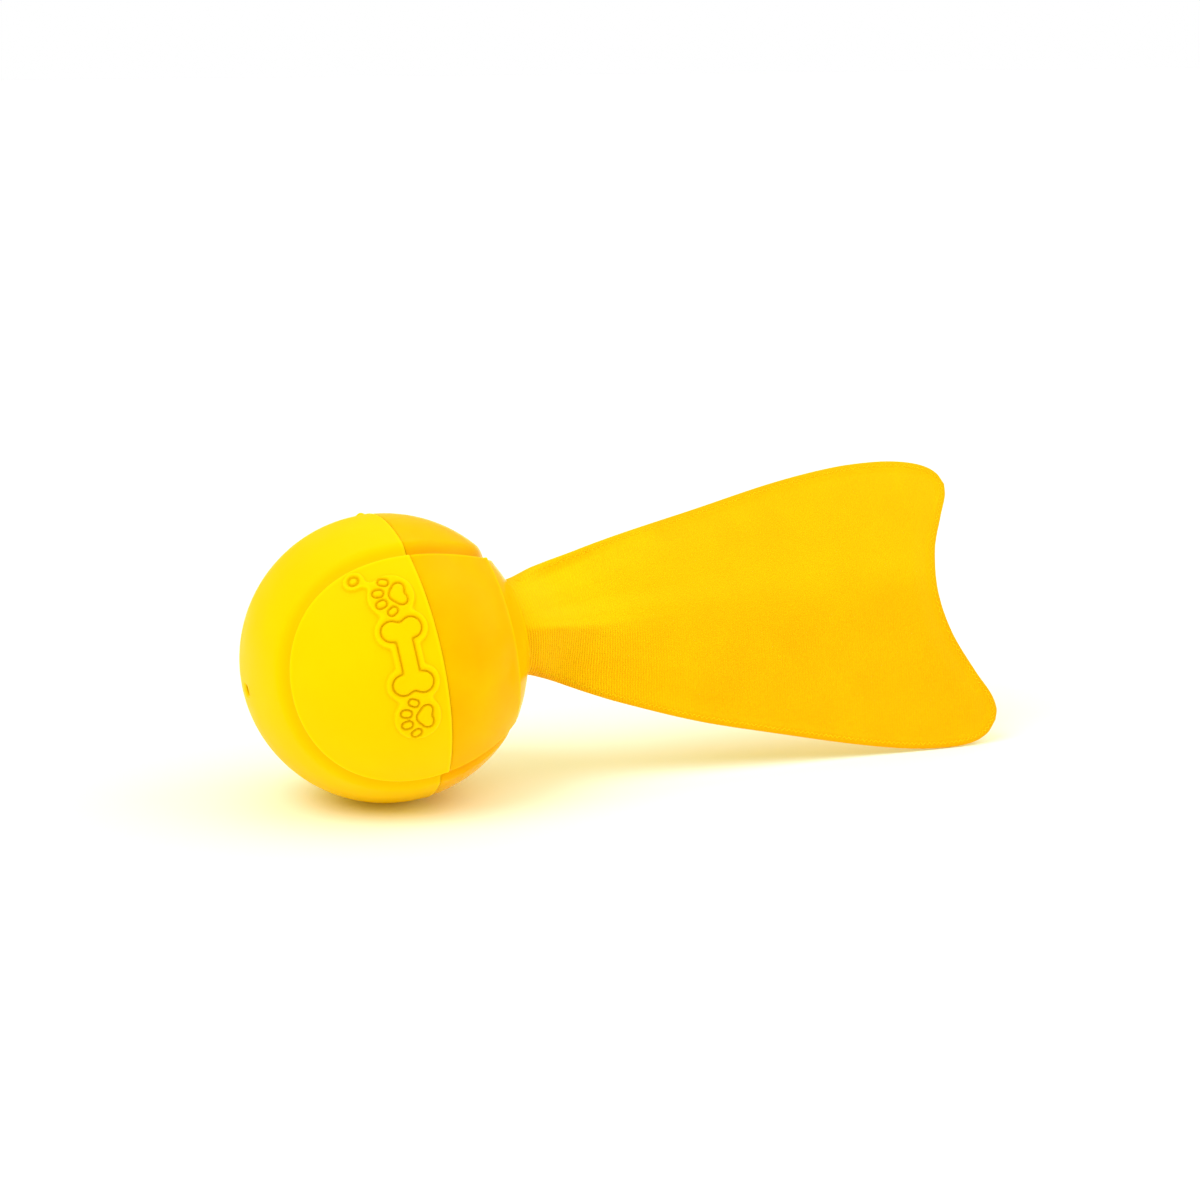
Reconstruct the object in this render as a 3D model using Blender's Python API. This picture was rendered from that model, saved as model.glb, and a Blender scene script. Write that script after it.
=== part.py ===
"""A two-tone fetch ball with a squeaker inside and a fan-shaped cloth tail.

Metres, +Z up. The ball rests on the floor, its axis runs along +X and rises towards the tail,
and the tail's lower corner touches the floor.
"""

import math

import bmesh
import bpy
from mathutils import Matrix, Vector

MM = 0.001

# The ball. Its own axis runs from the vent hole to the tail mouth.
BALL_RADIUS = 31.75 * MM
WALL = 4.0 * MM
AXIS_RISE = math.radians(8.0)
BALL_X = -58.57 * MM
GAP = 0.3 * MM

# The joint between the two shells: the front one laps over the rear one.
PARTING_HEIGHT = 0.112 * BALL_RADIUS
LAP_LENGTH = 3.5 * MM
LAP_WALL = 1.8 * MM

# The vent and the squeaker behind it.
VENT_RADIUS = 1.3 * MM
ROUND_START = 3.0 * MM
SOCKET_RADIUS = 8.2 * MM
SOCKET_STEP = 0.6 * MM
SQUEAKER_RADIUS = 7.6 * MM
SQUEAKER_LENGTH = 9.0 * MM
SQUEAKER_WALL = 1.0 * MM
SQUEAKER_HOLE = 1.5 * MM
CAP_SPIGOT = 1.5 * MM
REED_SIZE = (4.0 * MM, 9.0 * MM, 0.3 * MM)
REED_BEVEL = 0.08 * MM
REED_TILT = math.radians(20.0)

# The tail mouth and what holds the cloth in it.
MOUTH_RADIUS = 11.0 * MM
LIP_HEIGHT = 0.966 * BALL_RADIUS
LIP_RADIUS = 12.8 * MM
LIP_FOOT = 0.6 * MM
LIP_CHAMFER = (0.5 * MM, 0.3 * MM)
NECK_DEPTH = 9.0 * MM
NECK_WALL = 1.6 * MM
CLOTH = 0.5 * MM
PLUG_RADIUS = MOUTH_RADIUS - CLOTH - 2 * GAP
PLUG_LENGTH = 6.0 * MM
PLUG_WALL = 1.6 * MM
PLUG_SET_BACK = 1.2 * MM
STEM_LENGTH = 3.0 * MM
STEM_SHOULDER = 1.5 * MM
RING_RADIUS = MOUTH_RADIUS + NECK_WALL + 1.2 * MM
RING_THICKNESS = 1.8 * MM
TIE_RADIUS = 0.45 * MM

# The tail: it leaves the mouth as a round sleeve and flattens into a fan.
TAIL_DROP = math.radians(2.0)
TAIL_LEAN = math.radians(15.0)
BEND_LENGTH = 16.0 * MM
RIDGE_SLOPE = math.tan(math.radians(15.0))
RIDGE_SOFTNESS = 5.0 * MM
RIDGE_LENGTH = 45.0 * MM
SLEEVE_RADIUS = MOUTH_RADIUS - GAP
EDGE_SET_BACK = 0.05 * MM
TRAILING_POWER = 1.5
UPPER_EDGE = ((-8, 10.7), (0, 10.9), (6, 13.4), (16, 16.8), (27, 20.0), (48, 25.5), (70, 31.4),
              (86, 34.6), (97, 35.6), (104, 35.4), (110, 33.8), (113.2, 31.6))
LOWER_EDGE = ((-8, -10.7), (0, -10.8), (4, -11.7), (13, -14.4), (23, -17.9), (42, -23.4),
              (62, -27.5), (82, -31.2), (95, -33.0), (105, -33.5), (114, -32.3), (119.0, -28.8))
TRAILING_EDGE = ((119.0, -28.8), (119.4, -23.5), (115.0, -16.0), (109.5, -6.0), (106.9, 4.0),
                 (108.0, 13.5), (111.6, 22.0), (114.2, 28.0), (113.2, 31.6))
THICKNESS = ((-8, 10.7), (0, 10.7), (7, 9.0), (14, 6.3), (26, 3.4), (42, 1.8), (60, 0.9), (120, 0.9))

# Where the cloth is divided for its joints, from the mouth.
INSIDE_END = -7.0 * MM
SLEEVE_END = 0.6 * MM
THROAT_START = 1.5 * MM
NECK_START, NECK_END = 7.5 * MM, 12.5 * MM
PANEL_START, PANEL_END = 26.0 * MM, 55.0 * MM
FIN_START = 65.0 * MM
FIN_STRAIGHT_END = 84.0 * MM
THREAD_END = 96.0 * MM
THREAD_RADIUS = 0.3 * MM
THREAD_INSET = 2.2 * MM

# The three hinges that stand in for bending cloth, as lengths along the tail.
LIFT_HINGE, SWAY_HINGE, CURL_HINGE = 0.0, 19.25 * MM, 60.0 * MM

# How finely round and curved pieces are divided.
TURN_STEPS = 32
TIE_STEPS = 36
TIE_SECTION_STEPS = 8
SECTION_STEPS = 28
ACROSS_STEPS = 12
FRONT_STEPS, REAR_STEPS, INNER_STEPS, LAP_STEPS = 14, 12, 9, 2
TRAILING_ROWS = 6
THREAD_STEPS = 8
SEARCH_STEPS = 30
MERGE_DISTANCE = 0.001 * MM


YELLOW = (1.0, 0.78, 0.0, 1.0)
AMBER = (1.0, 0.5, 0.0, 1.0)
CLOTH_YELLOW = (1.0, 0.62, 0.0, 1.0)
IVORY = (0.85, 0.82, 0.72, 1.0)
CAP_IVORY = (0.8, 0.78, 0.7, 1.0)
FILM = (0.9, 0.9, 0.88, 1.0)
PLUG_YELLOW = (0.9, 0.7, 0.2, 1.0)
RING_YELLOW = (0.85, 0.6, 0.15, 1.0)
THREAD_YELLOW = (1.0, 0.7, 0.05, 1.0)


def clear_scene():
    for item in list(bpy.data.objects):
        bpy.data.objects.remove(item, do_unlink=True)


def material(name, colour, roughness, metallic=0.0):
    mat = bpy.data.materials.new(name)
    mat.use_nodes = True
    shader = mat.node_tree.nodes["Principled BSDF"]
    shader.inputs["Base Color"].default_value = colour
    shader.inputs["Roughness"].default_value = roughness
    shader.inputs["Metallic"].default_value = metallic
    return mat


def place(name, bm, mat, parent, smooth_angle=35.0):
    """Turn a bmesh into a named object with its own material, shaded smooth between sharp edges."""
    bmesh.ops.recalc_face_normals(bm, faces=bm.faces)
    if bm.calc_volume(signed=True) < 0:
        bmesh.ops.reverse_faces(bm, faces=bm.faces)
    mesh = bpy.data.meshes.new(name)
    bm.to_mesh(mesh)
    bm.free()
    mesh.shade_smooth()
    mesh.set_sharp_from_angle(angle=math.radians(smooth_angle))
    mesh.materials.append(mat)
    obj = bpy.data.objects.new(name, mesh)
    bpy.context.scene.collection.objects.link(obj)
    obj.parent = parent
    return obj


def empty(name, matrix, parent=None):
    """An empty at a matrix given in its parent's frame."""
    obj = bpy.data.objects.new(name, None)
    bpy.context.scene.collection.objects.link(obj)
    obj.parent = parent
    obj.matrix_basis = matrix
    return obj


def arc(radius, height_from, height_to, steps):
    """Points (radius, height) along a sphere about the origin between two heights."""
    low = math.asin(height_from / radius)
    high = math.asin(height_to / radius)
    angles = [low + (high - low) * i / steps for i in range(steps + 1)]
    return [(radius * math.cos(a), radius * math.sin(a)) for a in angles]


def turned(name, profile, mat, parent, steps=TURN_STEPS):
    """A solid of revolution about the local Z axis from a closed profile of (radius, height)."""
    bm = bmesh.new()
    verts = [bm.verts.new((radius, 0.0, height)) for radius, height in profile]
    edges = [bm.edges.new((verts[i], verts[(i + 1) % len(verts)])) for i in range(len(verts))]
    bmesh.ops.spin(bm, geom=verts + edges, cent=(0, 0, 0), axis=(0, 0, 1), angle=2 * math.pi,
                   steps=steps, use_merge=True, use_duplicate=False)
    bmesh.ops.remove_doubles(bm, verts=bm.verts, dist=MERGE_DISTANCE)
    bmesh.ops.dissolve_degenerate(bm, dist=MERGE_DISTANCE / 10, edges=bm.edges)
    return place(name, bm, mat, parent)


def sphere_height(radius, sphere=BALL_RADIUS):
    return math.sqrt(sphere * sphere - radius * radius)


def spline(points, t):
    """A smooth curve through the points, t from 0 to 1 along their chord length."""
    points = [Vector(p) for p in points]
    lengths = [0.0]
    for a, b in zip(points, points[1:]):
        lengths.append(lengths[-1] + (b - a).length)
    want = t * lengths[-1]
    i = max(j for j in range(len(points) - 1) if lengths[j] <= want or j == 0)

    def slope(j):
        low = max(j - 1, 0)
        high = min(j + 1, len(points) - 1)
        return (points[high] - points[low]) / (lengths[high] - lengths[low])

    span = lengths[i + 1] - lengths[i]
    u = (want - lengths[i]) / span
    return ((2 * u**3 - 3 * u**2 + 1) * points[i] + (u**3 - 2 * u**2 + u) * span * slope(i)
            + (3 * u**2 - 2 * u**3) * points[i + 1] + (u**3 - u**2) * span * slope(i + 1))


def curve_t(points, s):
    """The spline parameter where a spline over lengths in mm reaches s, in metres."""
    low, high = 0.0, 1.0
    for _ in range(SEARCH_STEPS):
        middle = (low + high) / 2
        if spline(points, middle)[0] * MM < s:
            low = middle
        else:
            high = middle
    return (low + high) / 2


def at_length(points, s):
    """The second coordinate, in metres, where a spline over lengths in mm reaches s."""
    return spline(points, curve_t(points, s))[1] * MM


def smoothstep(x):
    x = min(max(x, 0.0), 1.0)
    return x * x * (3 - 2 * x)


def ridge(s, w):
    """How far the cloth's middle surface falls back from its plane above the ridge."""
    grown = RIDGE_SLOPE * smoothstep(s / RIDGE_LENGTH)
    return -grown * (math.hypot(w, RIDGE_SOFTNESS) + w - RIDGE_SOFTNESS) / 2


def section(s, inset=0.0, steps=SECTION_STEPS):
    """One closed loop round the sleeve at length s, in (s, width, towards the near side)."""
    upper, lower = at_length(UPPER_EDGE, s), at_length(LOWER_EDGE, s)
    centre, half = (upper + lower) / 2, (upper - lower) / 2 - inset
    thick = at_length(THICKNESS, s) - inset
    tilt = (AXIS_RISE + TAIL_DROP) * (1 - smoothstep(s / BEND_LENGTH))
    loop = []
    for i in range(steps):
        angle = 2 * math.pi * i / steps
        out = half * math.cos(angle)
        w = centre + out * math.cos(tilt)
        loop.append((s - out * math.sin(tilt), w, thick * math.sin(angle) + ridge(s, w)))
    return loop


def bulge(s, w, low, high):
    """Half the space between the two panels at one point across the cloth."""
    across = (2 * w - low - high) / (high - low)
    return GAP / 2 + max(at_length(THICKNESS, s) - CLOTH, 0.0) * (1 - across**2)


def panel_line(s, low, high, side, steps=ACROSS_STEPS):
    """The outer and inner face of one panel across the cloth at one length."""
    outer, inner = [], []
    for w in steps_between(low, high, steps):
        base = ridge(s, w)
        apart = bulge(s, w, low, high)
        inner.append((s, w, base + side * apart))
        outer.append((s, w, base + side * (apart + CLOTH)))
    return outer, inner


def loft(loops):
    """A closed skin over closed loops of equal length, capped at both ends."""
    bm = bmesh.new()
    rings = [[bm.verts.new(p) for p in loop] for loop in loops]
    for a, b in zip(rings, rings[1:]):
        for i in range(len(a)):
            j = (i + 1) % len(a)
            bm.faces.new((a[i], a[j], b[j], b[i]))
    bm.faces.new(rings[0])
    bm.faces.new(list(reversed(rings[-1])))
    return bm


def tube(name, lengths, mat, parent):
    """A stretch of sleeve: an outer and an inner skin joined by a rim at each end."""
    bm = bmesh.new()
    outer = [[bm.verts.new(p) for p in section(s)] for s in lengths]
    inner = [[bm.verts.new(p) for p in section(s, CLOTH)] for s in lengths]
    loops = outer + list(reversed(inner))
    for a, b in zip(loops, loops[1:] + loops[:1]):
        for i in range(SECTION_STEPS):
            j = (i + 1) % SECTION_STEPS
            bm.faces.new((a[i], a[j], b[j], b[i]))
    return place(name, bm, mat, parent)


def layer(name, lines, mat, parent):
    """A piece of cloth from the two faces of each line across it, root to tip."""
    return place(name, loft([first + list(reversed(second)) for first, second in lines]), mat, parent)


def edges_at(s):
    """The length itself and where the cloth's lower and upper edges are there."""
    return s, at_length(LOWER_EDGE, s) + EDGE_SET_BACK, at_length(UPPER_EDGE, s) - EDGE_SET_BACK


def steps_between(start, end, count):
    return [start + (end - start) * i / count for i in range(count + 1)]


def fin_lines(side):
    """Lines across the fin: straight rows first, then rows that bend into the trailing edge."""
    lines = [panel_line(*edges_at(s), side) for s in steps_between(FIN_START, FIN_STRAIGHT_END, 3)]
    low_start = curve_t(LOWER_EDGE, FIN_STRAIGHT_END)
    high_start = curve_t(UPPER_EDGE, FIN_STRAIGHT_END)
    for v in steps_between(0.0, 1.0, TRAILING_ROWS)[1:]:
        low = spline(LOWER_EDGE, low_start + (1 - low_start) * v) * MM
        high = spline(UPPER_EDGE, high_start + (1 - high_start) * v) * MM
        outer, inner = [], []
        for u in steps_between(0.0, 1.0, ACROSS_STEPS):
            end = spline(TRAILING_EDGE, u) * MM
            flat_end = Vector(TRAILING_EDGE[0]).lerp(Vector(TRAILING_EDGE[-1]), u) * MM
            point = low.lerp(high, u) + (end - flat_end) * v**TRAILING_POWER
            base = ridge(point[0], point[1])
            inner.append((point[0], point[1], base + side * GAP / 2))
            outer.append((point[0], point[1], base + side * (GAP / 2 + CLOTH)))
        lines.append((outer, inner))
    return lines


def thread(name, route, mat):
    """A seam thread: a round cord on the near face along a route of (s, w, height)."""
    curve = bpy.data.curves.new(name, "CURVE")
    curve.dimensions = "3D"
    line = curve.splines.new("POLY")
    line.points.add(len(route) - 1)
    for point, place_on in zip(line.points, route):
        point.co = (*place_on, 1.0)
    curve.bevel_depth = THREAD_RADIUS
    curve.bevel_resolution = 0
    curve.use_fill_caps = True
    curve.materials.append(mat)
    obj = bpy.data.objects.new(name, curve)
    bpy.context.scene.collection.objects.link(obj)
    return obj


def build_shells(ball):
    rubber = material("front_rubber", YELLOW, 0.45)
    amber = material("rear_rubber", AMBER, 0.25)
    inner = BALL_RADIUS - WALL
    lap_inner = BALL_RADIUS - LAP_WALL
    lap_foot = PARTING_HEIGHT - LAP_LENGTH
    socket_floor = -sphere_height(SOCKET_RADIUS, inner) - SOCKET_STEP
    front = [(VENT_RADIUS, -sphere_height(VENT_RADIUS))]
    front += arc(BALL_RADIUS, -sphere_height(ROUND_START), PARTING_HEIGHT, FRONT_STEPS)
    front += arc(lap_inner, PARTING_HEIGHT, lap_foot, LAP_STEPS)
    front += arc(inner, lap_foot, -sphere_height(SOCKET_RADIUS, inner), INNER_STEPS)
    front += [(SOCKET_RADIUS, socket_floor), (VENT_RADIUS, socket_floor)]
    turned("front_shell", front, rubber, ball)

    start = PARTING_HEIGHT + GAP
    tongue = lap_inner - GAP
    neck_outer = MOUTH_RADIUS + NECK_WALL
    neck_end = LIP_HEIGHT - NECK_DEPTH
    chamfer_out, chamfer_down = LIP_CHAMFER
    rear = arc(BALL_RADIUS, start, sphere_height(LIP_RADIUS + LIP_FOOT), REAR_STEPS)
    rear += [(LIP_RADIUS, LIP_HEIGHT - chamfer_down), (LIP_RADIUS - chamfer_out, LIP_HEIGHT)]
    rear += [(MOUTH_RADIUS, LIP_HEIGHT), (MOUTH_RADIUS, neck_end), (neck_outer, neck_end)]
    rear += list(reversed(arc(inner, lap_foot + GAP, sphere_height(neck_outer, inner), INNER_STEPS)))
    rear += arc(tongue, lap_foot + GAP, start, LAP_STEPS)
    turned("rear_shell", rear, amber, ball)


def build_squeaker(ball):
    plastic = material("squeaker_plastic", IVORY, 0.4)
    cap_plastic = material("squeaker_cap_plastic", CAP_IVORY, 0.45)
    reed_plastic = material("reed_film", FILM, 0.2)
    inner = BALL_RADIUS - WALL
    floor = -sphere_height(SOCKET_RADIUS, inner) - SOCKET_STEP + GAP
    top = floor + SQUEAKER_LENGTH
    hole = SQUEAKER_HOLE
    wall = SQUEAKER_WALL
    barrel = [(hole, floor), (SQUEAKER_RADIUS, floor), (SQUEAKER_RADIUS, top),
              (SQUEAKER_RADIUS - wall, top), (SQUEAKER_RADIUS - wall, floor + wall), (hole, floor + wall)]
    turned("squeaker_barrel", barrel, plastic, ball)
    cap_top = top + GAP + wall
    bore = SQUEAKER_RADIUS - wall - GAP
    cap = [(hole, top - CAP_SPIGOT), (bore, top - CAP_SPIGOT), (bore, top + GAP),
           (SQUEAKER_RADIUS, top + GAP), (SQUEAKER_RADIUS, cap_top), (hole, cap_top)]
    turned("squeaker_cap", cap, cap_plastic, ball)
    bm = bmesh.new()
    bmesh.ops.create_cube(bm, size=1.0, matrix=Matrix.Diagonal((*REED_SIZE, 1.0)))
    bmesh.ops.bevel(bm, geom=bm.edges, offset=REED_BEVEL, segments=1, affect="EDGES")
    reed = place("squeaker_reed", bm, reed_plastic, ball)
    reed.location = (0.0, 0.0, floor + SQUEAKER_LENGTH / 2)
    reed.rotation_euler = (REED_TILT, 0.0, 0.0)


def build_anchor(ball):
    """The plug that the sleeve is gathered on, the ring behind the neck and the cord between them."""
    plug_plastic = material("anchor_plastic", PLUG_YELLOW, 0.4)
    ring_plastic = material("ring_plastic", RING_YELLOW, 0.4)
    cord = material("tie_cord", THREAD_YELLOW, 0.8)
    plug_top = LIP_HEIGHT - PLUG_SET_BACK
    plug_foot = plug_top - PLUG_LENGTH
    stem_foot = plug_foot - STEM_LENGTH
    inner = PLUG_RADIUS - PLUG_WALL
    floor = plug_foot + PLUG_WALL
    stem = inner - STEM_SHOULDER
    plug = [(0.0, stem_foot), (stem, stem_foot), (stem, plug_foot), (PLUG_RADIUS, plug_foot),
            (PLUG_RADIUS, plug_top), (inner, plug_top), (inner, floor), (0.0, floor)]
    turned("tail_plug", plug, plug_plastic, ball)
    hole = stem + GAP
    ring_top = LIP_HEIGHT - NECK_DEPTH - GAP
    ring_foot = ring_top - RING_THICKNESS
    ring = [(hole, ring_foot), (RING_RADIUS, ring_foot), (RING_RADIUS, ring_top), (hole, ring_top)]
    turned("tail_lock_ring", ring, ring_plastic, ball)
    radius = SLEEVE_RADIUS - CLOTH - GAP - TIE_RADIUS
    height = (plug_foot + ring_top) / 2
    angles = [2 * math.pi * i / TIE_SECTION_STEPS for i in range(TIE_SECTION_STEPS)]
    circle = [(radius + TIE_RADIUS * math.cos(a), height + TIE_RADIUS * math.sin(a)) for a in angles]
    turned("root_tie", circle, cord, ball, steps=TIE_STEPS)


def tail_frame(mouth):
    """The tail's frame: X along the cloth, Y across it upwards, Z towards the near side."""
    plane_up = Vector((0.0, math.sin(TAIL_LEAN), math.cos(TAIL_LEAN)))
    forward = Vector((1.0, 0.0, 0.0))
    along = forward * math.cos(TAIL_DROP) - plane_up * math.sin(TAIL_DROP)
    across = forward * math.sin(TAIL_DROP) + plane_up * math.cos(TAIL_DROP)
    near = along.cross(across)
    frame = Matrix((along, across, near)).transposed().to_4x4()
    frame.translation = mouth
    return frame


def thread_point(s, edge, inward):
    """A point of a seam thread, just clear of the near panel a little inside an edge."""
    w = at_length(edge, s) + inward * THREAD_INSET
    apart = bulge(s, w, at_length(LOWER_EDGE, s), at_length(UPPER_EDGE, s))
    return (s, w, ridge(s, w) + apart + CLOTH + GAP + THREAD_RADIUS)


def build_hinges(tail_matrix):
    """An empty on each hinge, one hanging on the other, and how far along the tail each lies."""
    lift = empty("tail_lift_hinge", tail_matrix)
    sway = empty("tail_sway_hinge", Matrix.Translation((SWAY_HINGE - LIFT_HINGE, 0, 0)), lift)
    curl = empty("tail_curl_hinge", Matrix.Translation((CURL_HINGE - SWAY_HINGE, 0, 0)), sway)
    return {"lift": (lift, LIFT_HINGE), "sway": (sway, SWAY_HINGE), "curl": (curl, CURL_HINGE)}


def hang(obj, hinge):
    """Let a piece that was made in the tail's frame ride on a hinge."""
    obj.parent, reach = hinge
    obj.location.x = -reach


def cloth_material(name):
    return material(f"{name}_cloth", CLOTH_YELLOW, 0.8)


def build_tubes(hinges):
    spans = {"tail_throat": (THROAT_START, NECK_START - GAP, 4, "lift"),
             "tail_neck_sleeve": (NECK_START, NECK_END, 2, "lift"),
             "tail_gusset": (NECK_END + GAP, PANEL_START - GAP, 5, "sway")}
    for name, (start, end, count, hinge) in spans.items():
        hang(tube(name, steps_between(start, end, count), cloth_material(name), None), hinges[hinge])


def build_panels(hinges):
    for side, which in ((1, "near"), (-1, "far")):
        rows = [panel_line(*edges_at(s), side) for s in steps_between(PANEL_START, PANEL_END, 5)]
        name = f"tail_panel_{which}"
        hang(layer(name, rows, cloth_material(name), None), hinges["sway"])
        name = f"tail_fin_{which}"
        hang(layer(name, fin_lines(side), cloth_material(name), None), hinges["curl"])
    fold = [(panel_line(*edges_at(s), 1)[0], panel_line(*edges_at(s), -1)[0])
            for s in steps_between(PANEL_END + GAP, FIN_START - GAP, 3)]
    hang(layer("tail_fold", fold, cloth_material("tail_fold"), None), hinges["curl"])


def build_threads(hinges):
    nylon = material("seam_thread_nylon", THREAD_YELLOW, 0.7)
    spans = {"panel": (PANEL_START + GAP, PANEL_END - GAP, "sway"),
             "fin": (FIN_START + GAP, THREAD_END, "curl")}
    for name, edge, inward in (("upper", UPPER_EDGE, -1), ("lower", LOWER_EDGE, 1)):
        for part, (start, end, hinge) in spans.items():
            route = [thread_point(s, edge, inward) for s in steps_between(start, end, THREAD_STEPS)]
            hang(thread(f"seam_thread_{part}_{name}", route, nylon), hinges[hinge])


def build_sleeve(ball):
    """The end of the sleeve that stays inside the mouth, between the plug and the bore."""
    low = LIP_HEIGHT + INSIDE_END
    high = LIP_HEIGHT + SLEEVE_END
    inner = SLEEVE_RADIUS - CLOTH
    profile = [(inner, low), (SLEEVE_RADIUS, low), (SLEEVE_RADIUS, high), (inner, high)]
    turned("tail_root_sleeve", profile, cloth_material("tail_root_sleeve"), ball)


def main():
    clear_scene()
    axis = Vector((math.cos(AXIS_RISE), 0.0, math.sin(AXIS_RISE)))
    centre = Vector((BALL_X, 0.0, BALL_RADIUS))
    turn = Vector((0.0, 0.0, 1.0)).rotation_difference(axis).to_matrix().to_4x4()
    ball = empty("ball_axis", Matrix.Translation(centre) @ turn)
    hinges = build_hinges(tail_frame(centre + axis * LIP_HEIGHT))
    build_shells(ball)
    build_squeaker(ball)
    build_anchor(ball)
    build_sleeve(ball)
    build_tubes(hinges)
    build_panels(hinges)
    build_threads(hinges)


main()
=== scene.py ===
"""The finished look of a two-tone fetch ball with a squeaker and a fan-shaped cloth tail.

Shapes are worked out in millimetres and turned into metres as each mesh is made.
"""

import math

import bmesh
import bpy
import numpy as np
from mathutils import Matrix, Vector
from mathutils.geometry import delaunay_2d_cdt
from mathutils.kdtree import KDTree


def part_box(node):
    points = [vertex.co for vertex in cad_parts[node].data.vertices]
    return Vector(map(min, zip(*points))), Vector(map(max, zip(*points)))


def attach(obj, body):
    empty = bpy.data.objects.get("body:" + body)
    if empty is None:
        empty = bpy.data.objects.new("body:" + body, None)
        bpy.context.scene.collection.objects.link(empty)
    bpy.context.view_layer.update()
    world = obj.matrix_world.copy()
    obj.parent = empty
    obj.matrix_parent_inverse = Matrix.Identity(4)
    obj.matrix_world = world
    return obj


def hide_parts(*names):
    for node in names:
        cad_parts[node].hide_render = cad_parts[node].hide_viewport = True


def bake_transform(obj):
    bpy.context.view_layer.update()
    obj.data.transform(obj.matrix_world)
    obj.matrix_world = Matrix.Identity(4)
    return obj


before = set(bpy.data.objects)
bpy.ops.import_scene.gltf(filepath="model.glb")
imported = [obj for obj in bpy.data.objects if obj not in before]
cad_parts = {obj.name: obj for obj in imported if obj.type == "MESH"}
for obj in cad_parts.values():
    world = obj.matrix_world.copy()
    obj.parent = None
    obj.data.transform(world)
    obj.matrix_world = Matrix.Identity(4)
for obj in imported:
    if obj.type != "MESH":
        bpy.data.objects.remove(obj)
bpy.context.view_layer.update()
MM = 0.001

# ---------------------------------------------------------------- the ball's sizes
RADIUS = 31.75
AXIS_RISE = math.radians(8.0)
INNER = RADIUS - 4.0
LAP_INNER = RADIUS - 1.8
PARTING = 0.112 * RADIUS
LAP_FOOT = PARTING - 3.5
GAP = 0.3
VENT = 1.3
SOCKET = 8.2
MOUTH = 11.0
LIP_HEIGHT = 0.966 * RADIUS
NECK_DEPTH = 9.0
NECK_OUTER = MOUTH + 1.6
COLLAR_POLAR = math.radians(43.7)

# ---------------------------------------------------------------- the tail's sizes
TAIL_DROP = math.radians(2.0)
TAIL_LEAN = math.radians(15.0)
BEND_LENGTH = 16.0
UPPER_EDGE = ((-8, 10.7), (0, 10.9), (6, 13.4), (16, 16.8), (27, 20.0), (48, 25.5), (70, 31.4),
              (86, 34.6), (97, 35.6), (104, 35.4), (109.4, 34.3), (112.6, 32.4), (114.1, 29.6))
LOWER_EDGE = ((-8, -10.7), (0, -10.8), (4, -11.7), (13, -14.4), (23, -17.9), (42, -23.4),
              (62, -27.5), (82, -31.2), (95, -33.0), (105, -33.5), (112.5, -32.9), (117.2, -30.9),
              (119.7, -27.8))
TRAILING_EDGE = ((119.7, -27.8), (120.2, -25.0), (119.0, -21.4), (115.2, -15.8), (109.6, -6.0),
                 (106.9, 4.0), (107.9, 13.5), (111.2, 21.5), (113.6, 26.6), (114.1, 29.6))
THICKNESS = ((-8, 10.7), (0, 10.7), (7, 9.0), (14, 6.3), (26, 3.4), (42, 1.8), (60, 0.9), (120, 0.9))
CLOTH = 0.35
HEM = 0.16
HEM_TURN = 3.0
SLEEVE_RADIUS = 11.5
STITCH_INSET, STITCH_PITCH, STITCH_SWING = 1.15, 1.2, 0.28
THREAD_RADIUS, THREAD_SIDES, THREAD_LIFT = 0.1, 6, 0.03
RIDGE_DROP, RIDGE_SLOPE, RIDGE_FROM = 1.6, 0.085, 15

# ---------------------------------------------------------------- frames
shell_low = np.array(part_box("front_shell")[0]) / MM
CENTRE = np.array((shell_low[0] + RADIUS, 0.0, shell_low[2] + RADIUS))
AXIS = np.array((math.cos(AXIS_RISE), 0.0, math.sin(AXIS_RISE)))
UP = np.array((-math.sin(AXIS_RISE), 0.0, math.cos(AXIS_RISE)))
NEAR = np.array((0.0, -1.0, 0.0))
BALL = np.stack((NEAR, UP, AXIS))
MOUTH_CENTRE = CENTRE + AXIS * LIP_HEIGHT
PLANE_UP = np.array((0.0, math.sin(TAIL_LEAN), math.cos(TAIL_LEAN)))
FORWARD = np.array((1.0, 0.0, 0.0))
ALONG = FORWARD * math.cos(TAIL_DROP) - PLANE_UP * math.sin(TAIL_DROP)
ACROSS = FORWARD * math.sin(TAIL_DROP) + PLANE_UP * math.cos(TAIL_DROP)
TAIL = np.stack((ALONG, ACROSS, np.cross(ALONG, ACROSS)))


def smoothstep(x):
    x = np.clip(x, 0.0, 1.0)
    return x * x * (3 - 2 * x)


def unit(v):
    return v / np.linalg.norm(v, axis=-1, keepdims=True)


# ---------------------------------------------------------------- materials
# The rubber and cloth rows run from painted shade in recesses, through the body colour, to painted
# highlights on edges.
FRONT_TONES = (0.0, (0.82, 0.5, 0.0)), (0.5, (0.96, 0.58, 0.0)), (1.0, (1.0, 0.68, 0.0))
REAR_TONES = (0.0, (0.88, 0.36, 0.0)), (0.5, (0.97, 0.475, 0.0)), (1.0, (1.0, 0.61, 0.0))
CLOTH_TONES = (0.0, (0.85, 0.355, 0.0)), (0.5, (0.95, 0.468, 0.0)), (1.0, (1.0, 0.6, 0.0))
THREAD_TONES = (0.0, (0.98, 0.55, 0.0)), (1.0, (1.0, 0.7, 0.0))
FLOOR_TONES = (0.3, (0.98, 0.98, 0.89)), (0.7, (1.0, 1.0, 0.91))
# The share of the painted shade and highlights in each tone.
PAINTED_SHADING_SHARE = 0.5
RIB_PITCH, YARN_PITCH = 0.64, 0.42


def material(name, **sockets):
    mat = bpy.data.materials.new(name)
    mat.use_nodes = True
    shader = mat.node_tree.nodes["Principled BSDF"]
    for key, value in sockets.items():
        shader.inputs[key.replace("_", " ")].default_value = value
    return mat, mat.node_tree, shader


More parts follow.
